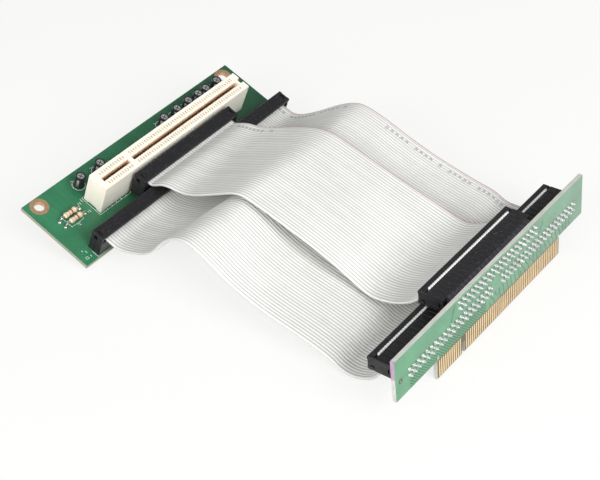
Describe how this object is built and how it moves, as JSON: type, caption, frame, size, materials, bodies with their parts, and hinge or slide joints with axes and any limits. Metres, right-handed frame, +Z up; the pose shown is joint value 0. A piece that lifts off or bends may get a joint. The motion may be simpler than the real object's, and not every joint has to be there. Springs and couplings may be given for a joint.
{
  "type": "pci riser card",
  "caption": "Bus riser: a slot board and a keyed edge-card board joined by flat grey ribbon cables, each clamped in black insulation-displacement sockets",
  "frame": {"origin": "the centre of the card edge's key notch, at the finger edge, in the middle of the board's thickness, on the surface that the riser lies on", "axes": "+X runs through the edge-card board away from the slot board, +Y along both boards towards the long finger section's end, +Z up"},
  "size_m": [0.1735, 0.1226, 0.0297],
  "materials": {
    "pcb_dark_green": "green solder mask over glass-fibre board",
    "pcb_light_green": "pale green solder mask over glass-fibre board",
    "copper": "flashed copper eyelet",
    "slot_cream": "moulded cream polyester",
    "contact_gold": "gold-plated contact",
    "solder": "bright solder",
    "ribbon_grey": "grey ribbed cable insulation",
    "can_aluminium": "bare aluminium",
    "sleeve_black": "shrink sleeve",
    "resistor_tan": "lacquered ceramic",
    "tinned_lead": "tinned wire",
    "connector_black": "moulded black plastic"
  },
  "bodies": {
    "root": {"capacitor_1_can": "can_aluminium", "capacitor_1_sleeve": "sleeve_black", "capacitor_2_can": "can_aluminium", "capacitor_2_sleeve": "sleeve_black", "capacitor_3_can": "can_aluminium", "capacitor_3_sleeve": "sleeve_black", "capacitor_4_can": "can_aluminium", "capacitor_4_sleeve": "sleeve_black", "capacitor_5_can": "can_aluminium", "capacitor_5_sleeve": "sleeve_black", "capacitor_6_can": "can_aluminium", "capacitor_6_sleeve": "sleeve_black", "capacitor_7_can": "can_aluminium", "capacitor_7_sleeve": "sleeve_black", "capacitor_8_can": "can_aluminium", "capacitor_8_sleeve": "sleeve_black", "card_far_cap": "connector_black", "card_far_header": "connector_black", "card_far_socket": "connector_black", "card_far_solder_tails": "solder", "card_middle_cap": "connector_black", "card_middle_header": "connector_black", "card_middle_socket": "connector_black", "card_middle_solder_tails": "solder", "card_near_cap": "connector_black", "card_near_header": "connector_black", "card_near_socket": "connector_black", "card_near_solder_tails": "solder", "edge_card": "pcb_light_green", "far_mounting_ring": "copper", "front_resistor_body": "resistor_tan", "front_resistor_leads": "tinned_lead", "inner_finger_pads": "contact_gold", "near_mounting_ring": "copper", "outer_finger_pads": "contact_gold", "rear_resistor_body": "resistor_tan", "rear_resistor_leads": "tinned_lead", "ribbon_far": "ribbon_grey", "ribbon_middle": "ribbon_grey", "ribbon_near": "ribbon_grey", "slot_board": "pcb_dark_green", "slot_contacts": "contact_gold", "slot_far_cap": "connector_black", "slot_far_socket": "connector_black", "slot_far_solder_tails": "solder", "slot_housing": "slot_cream", "slot_middle_cap": "connector_black", "slot_middle_header": "connector_black", "slot_middle_socket": "connector_black", "slot_middle_solder_tails": "solder", "slot_near_cap": "connector_black", "slot_near_socket": "connector_black", "slot_near_solder_tails": "solder", "slot_solder_tails": "solder", "small_part_solder_tails": "solder"}
  },
  "joints": []
}
